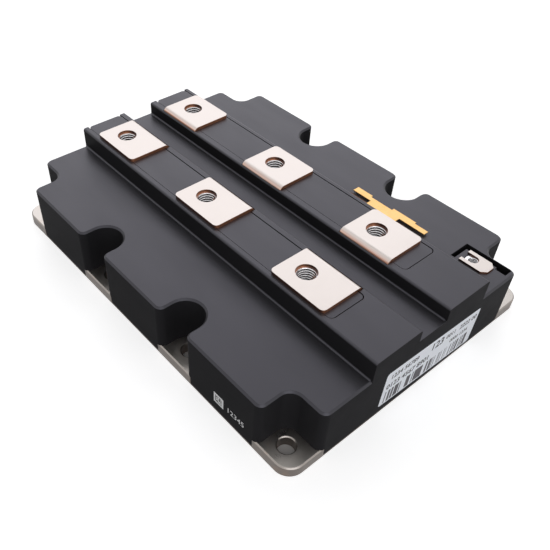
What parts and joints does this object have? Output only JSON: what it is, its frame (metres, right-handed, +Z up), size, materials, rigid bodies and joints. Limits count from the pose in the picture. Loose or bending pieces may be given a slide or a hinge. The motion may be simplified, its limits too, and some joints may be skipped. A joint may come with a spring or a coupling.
{
  "type": "igbt module",
  "caption": "Flat rectangular power transistor module: metal base plate, black housing with two ridges of screw terminals, notched sides for mounting screws.",
  "frame": {"origin": "centre of the base plate's underside", "axes": "+X along the length, towards the end that carries the label; +Y across, towards the collector row; +Z up, out of the terminals"},
  "size_m": [0.19, 0.14, 0.038],
  "materials": {
    "nickel_plate": "nickel-plated copper, satin",
    "housing_plastic": "fine-grained glass-filled plastic",
    "carrier_plastic": "fine-grained glass-filled plastic",
    "tinned_copper": "bright plated copper",
    "steel_nut": "plain steel",
    "brass_strip": "thin bright strip",
    "brass_pin": "tinned pin",
    "aluminium_ribbon": "bright soft aluminium",
    "bare_copper": "bare copper",
    "tile_ceramic": "unglazed",
    "silicon": "metallised silicon",
    "board_laminate": "glass-fibre board",
    "clear_gel": "soft clear gel",
    "label_foil": "printed foil"
  },
  "bodies": {
    "root": {"base_plate": "nickel_plate", "housing": "housing_plastic", "nut_bar_front": "carrier_plastic", "nut_bar_back": "carrier_plastic", "emitter_terminal_1": "tinned_copper", "emitter_terminal_2": "tinned_copper", "emitter_terminal_3": "tinned_copper", "collector_terminal_1": "tinned_copper", "collector_terminal_2": "tinned_copper", "collector_terminal_3": "tinned_copper", "main_nuts": "steel_nut", "aux_collector_terminal": "tinned_copper", "gate_terminal": "tinned_copper", "aux_emitter_terminal": "tinned_copper", "aux_nuts": "steel_nut", "shorting_strip": "brass_strip", "bottom_copper": "bare_copper", "ceramic_tiles": "tile_ceramic", "collector_pads": "bare_copper", "emitter_pads": "bare_copper", "gate_pads": "bare_copper", "igbt_chips": "silicon", "diode_chips": "silicon", "emitter_ribbons": "aluminium_ribbon", "gate_ribbons": "aluminium_ribbon", "control_pins": "brass_pin", "gate_board": "board_laminate", "silicone_gel": "clear_gel", "label": "label_foil"}
  },
  "joints": []
}
